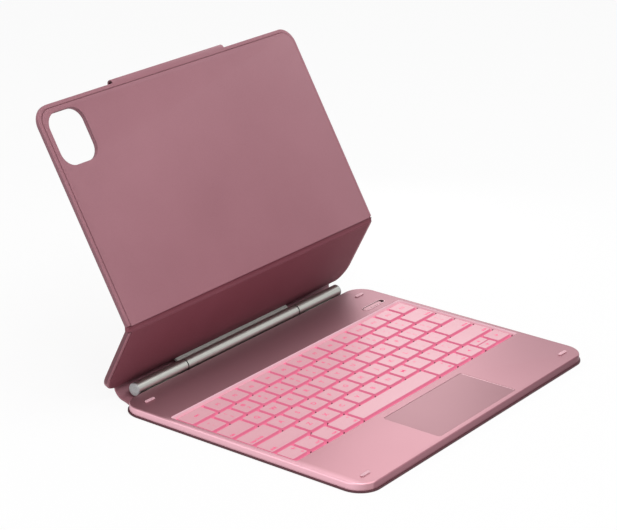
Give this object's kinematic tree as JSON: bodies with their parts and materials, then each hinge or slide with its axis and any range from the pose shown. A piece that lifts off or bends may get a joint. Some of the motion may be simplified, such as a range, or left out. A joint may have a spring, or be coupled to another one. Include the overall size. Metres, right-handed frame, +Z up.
{
  "type": "tablet keyboard case",
  "caption": "Folding tablet case with a shallow keyboard base, trackpad, barrel hinge and a two-panel cover with a camera cutout and closing flap.",
  "frame": {"origin": "middle of the flat underside of the keyboard base, on the surface it stands on", "axes": "+X to the right of the keyboard, +Y away from the typist towards the hinge, +Z up"},
  "size_m": [0.253, 0.2533, 0.1833],
  "materials": {
    "mauve_leather": "smooth skin, satin",
    "plum_lining": "smooth lining, matt",
    "rose_metal": "satin anodised",
    "rose_caps": "satin, with lit legends",
    "lit_membrane": "lit from below",
    "rose_glass": "fine satin",
    "hinge_steel": "brushed along the barrel",
    "cap_steel": "faced",
    "dark_ring": "matt",
    "rose_rubber": "matt",
    "spring_steel": "plain",
    "clear_guide": "clear",
    "dome_rubber": "matt",
    "board_green": "soldered",
    "cell_foil": "foil pouch",
    "magnet_nickel": "plated",
    "ribbon_film": "film",
    "switch_black": "moulded"
  },
  "bodies": {
    "base": {"base_skin": "mauve_leather", "bottom_plate": "spring_steel", "base_tray": "rose_metal", "light_guide": "clear_guide", "key_plate": "spring_steel", "switch_membrane": "lit_membrane", "key_domes": "dome_rubber", "trackpad_bracket": "spring_steel", "trackpad_dome": "spring_steel", "slide_switch": "switch_black", "bumper_pads": "rose_rubber", "battery_cells": "cell_foil", "main_board": "board_green", "ribbon_cable": "ribbon_film", "charge_socket": "spring_steel", "base_magnets": "magnet_nickel", "hinge_tube_left": "hinge_steel", "hinge_tube_right": "hinge_steel", "hinge_caps": "cap_steel", "hinge_washers": "dark_ring", "hinge_pins": "spring_steel", "hinge_brackets": "spring_steel", "base_screws": "spring_steel", "spine_skin": "mauve_leather"},
    "lower_panel": {"lower_shell": "mauve_leather", "lower_pad": "plum_lining", "hinge_tube_center": "hinge_steel", "friction_sleeves": "spring_steel", "hinge_leaf": "hinge_steel", "leaf_rivets": "spring_steel"},
    "upper_panel": {"upper_shell": "mauve_leather", "upper_pad": "mauve_leather", "cover_magnets": "magnet_nickel", "fold_strip": "mauve_leather", "flap_root": "mauve_leather"},
    "flap": {"flap_tail": "mauve_leather", "flap_magnet": "magnet_nickel"},
    "trackpad": {"trackpad_glass": "rose_glass", "trackpad_board": "board_green"},
    "power_slide_knob": {"power_slider": "rose_rubber"},
    "key_escape": {"key_escape": "rose_caps"},
    "function_row_keys": {"function_row_keys": "rose_caps"},
    "number_row_keys": {"number_row_keys": "rose_caps"},
    "key_backspace": {"key_backspace": "rose_caps"},
    "key_tab": {"key_tab": "rose_caps"},
    "upper_letter_keys": {"upper_letter_keys": "rose_caps"},
    "key_caps": {"key_caps": "rose_caps"},
    "home_letter_keys": {"home_letter_keys": "rose_caps"},
    "key_enter": {"key_enter": "rose_caps"},
    "key_shift_left": {"key_shift_left": "rose_caps"},
    "lower_letter_keys": {"lower_letter_keys": "rose_caps"},
    "key_shift_right": {"key_shift_right": "rose_caps"},
    "modifier_keys": {"modifier_keys": "rose_caps"},
    "key_space": {"key_space": "rose_caps"},
    "key_left": {"key_left": "rose_caps"},
    "key_up": {"key_up": "rose_caps"},
    "key_down": {"key_down": "rose_caps"},
    "key_right": {"key_right": "rose_caps"}
  },
  "joints": [
    {"name": "cover_hinge", "type": "hinge", "parent": "base", "child": "lower_panel", "pos_m": [0, 0.09695, 0.00675], "axis": [1, 0, 0], "range_deg": [-26, 63.8], "deforming": ["spine_skin"]},
    {"name": "cover_fold", "type": "hinge", "parent": "lower_panel", "child": "upper_panel", "pos_m": [0, 0.08484, 0.05696], "axis": [1, 0, 0], "range_deg": [-20, 57], "deforming": ["fold_strip"]},
    {"name": "flap_hinge", "type": "hinge", "parent": "upper_panel", "child": "flap", "pos_m": [0, 0.15769, 0.18083], "axis": [1, 0, 0], "range_deg": [0, 170], "deforming": ["flap_root"]},
    {"name": "trackpad_click", "type": "hinge", "parent": "base", "child": "trackpad", "pos_m": [0, -0.04715, 0.0052], "axis": [1, 0, 0], "range_deg": [0, 0.45], "stiffness_Nm_per_rad": 3, "springref_deg": -0.23},
    {"name": "power_slide", "type": "slide", "parent": "base", "child": "power_slide_knob", "axis": [1, 0, 0], "range_m": [0, 0.0024]},
    {"name": "key_escape_press", "type": "slide", "parent": "base", "child": "key_escape", "axis": [0, 0, -1], "range_m": [0, 0.0009], "stiffness_N_per_m": 600, "springref_m": -0.0003},
    {"name": "function_row_keys_press", "type": "slide", "parent": "base", "child": "function_row_keys", "axis": [0, 0, -1], "range_m": [0, 0.0009], "stiffness_N_per_m": 1800, "springref_m": -0.0003},
    {"name": "number_row_keys_press", "type": "slide", "parent": "base", "child": "number_row_keys", "axis": [0, 0, -1], "range_m": [0, 0.0009], "stiffness_N_per_m": 1800, "springref_m": -0.0003},
    {"name": "key_backspace_press", "type": "slide", "parent": "base", "child": "key_backspace", "axis": [0, 0, -1], "range_m": [0, 0.0009], "stiffness_N_per_m": 600, "springref_m": -0.0003},
    {"name": "key_tab_press", "type": "slide", "parent": "base", "child": "key_tab", "axis": [0, 0, -1], "range_m": [0, 0.0009], "stiffness_N_per_m": 600, "springref_m": -0.0003},
    {"name": "upper_letter_keys_press", "type": "slide", "parent": "base", "child": "upper_letter_keys", "axis": [0, 0, -1], "range_m": [0, 0.0009], "stiffness_N_per_m": 1800, "springref_m": -0.0003},
    {"name": "key_caps_press", "type": "slide", "parent": "base", "child": "key_caps", "axis": [0, 0, -1], "range_m": [0, 0.0009], "stiffness_N_per_m": 600, "springref_m": -0.0003},
    {"name": "home_letter_keys_press", "type": "slide", "parent": "base", "child": "home_letter_keys", "axis": [0, 0, -1], "range_m": [0, 0.0009], "stiffness_N_per_m": 1800, "springref_m": -0.0003},
    {"name": "key_enter_press", "type": "slide", "parent": "base", "child": "key_enter", "axis": [0, 0, -1], "range_m": [0, 0.0009], "stiffness_N_per_m": 600, "springref_m": -0.0003},
    {"name": "key_shift_left_press", "type": "slide", "parent": "base", "child": "key_shift_left", "axis": [0, 0, -1], "range_m": [0, 0.0009], "stiffness_N_per_m": 600, "springref_m": -0.0003},
    {"name": "lower_letter_keys_press", "type": "slide", "parent": "base", "child": "lower_letter_keys", "axis": [0, 0, -1], "range_m": [0, 0.0009], "stiffness_N_per_m": 1800, "springref_m": -0.0003},
    {"name": "key_shift_right_press", "type": "slide", "parent": "base", "child": "key_shift_right", "axis": [0, 0, -1], "range_m": [0, 0.0009], "stiffness_N_per_m": 600, "springref_m": -0.0003},
    {"name": "modifier_keys_press", "type": "slide", "parent": "base", "child": "modifier_keys", "axis": [0, 0, -1], "range_m": [0, 0.0009], "stiffness_N_per_m": 1800, "springref_m": -0.0003},
    {"name": "key_space_press", "type": "slide", "parent": "base", "child": "key_space", "axis": [0, 0, -1], "range_m": [0, 0.0009], "stiffness_N_per_m": 600, "springref_m": -0.0003, "deforming": ["key_domes"]},
    {"name": "key_left_press", "type": "slide", "parent": "base", "child": "key_left", "axis": [0, 0, -1], "range_m": [0, 0.0009], "stiffness_N_per_m": 600, "springref_m": -0.0003},
    {"name": "key_up_press", "type": "slide", "parent": "base", "child": "key_up", "axis": [0, 0, -1], "range_m": [0, 0.0009], "stiffness_N_per_m": 600, "springref_m": -0.0003},
    {"name": "key_down_press", "type": "slide", "parent": "base", "child": "key_down", "axis": [0, 0, -1], "range_m": [0, 0.0009], "stiffness_N_per_m": 600, "springref_m": -0.0003},
    {"name": "key_right_press", "type": "slide", "parent": "base", "child": "key_right", "axis": [0, 0, -1], "range_m": [0, 0.0009], "stiffness_N_per_m": 600, "springref_m": -0.0003}
  ]
}
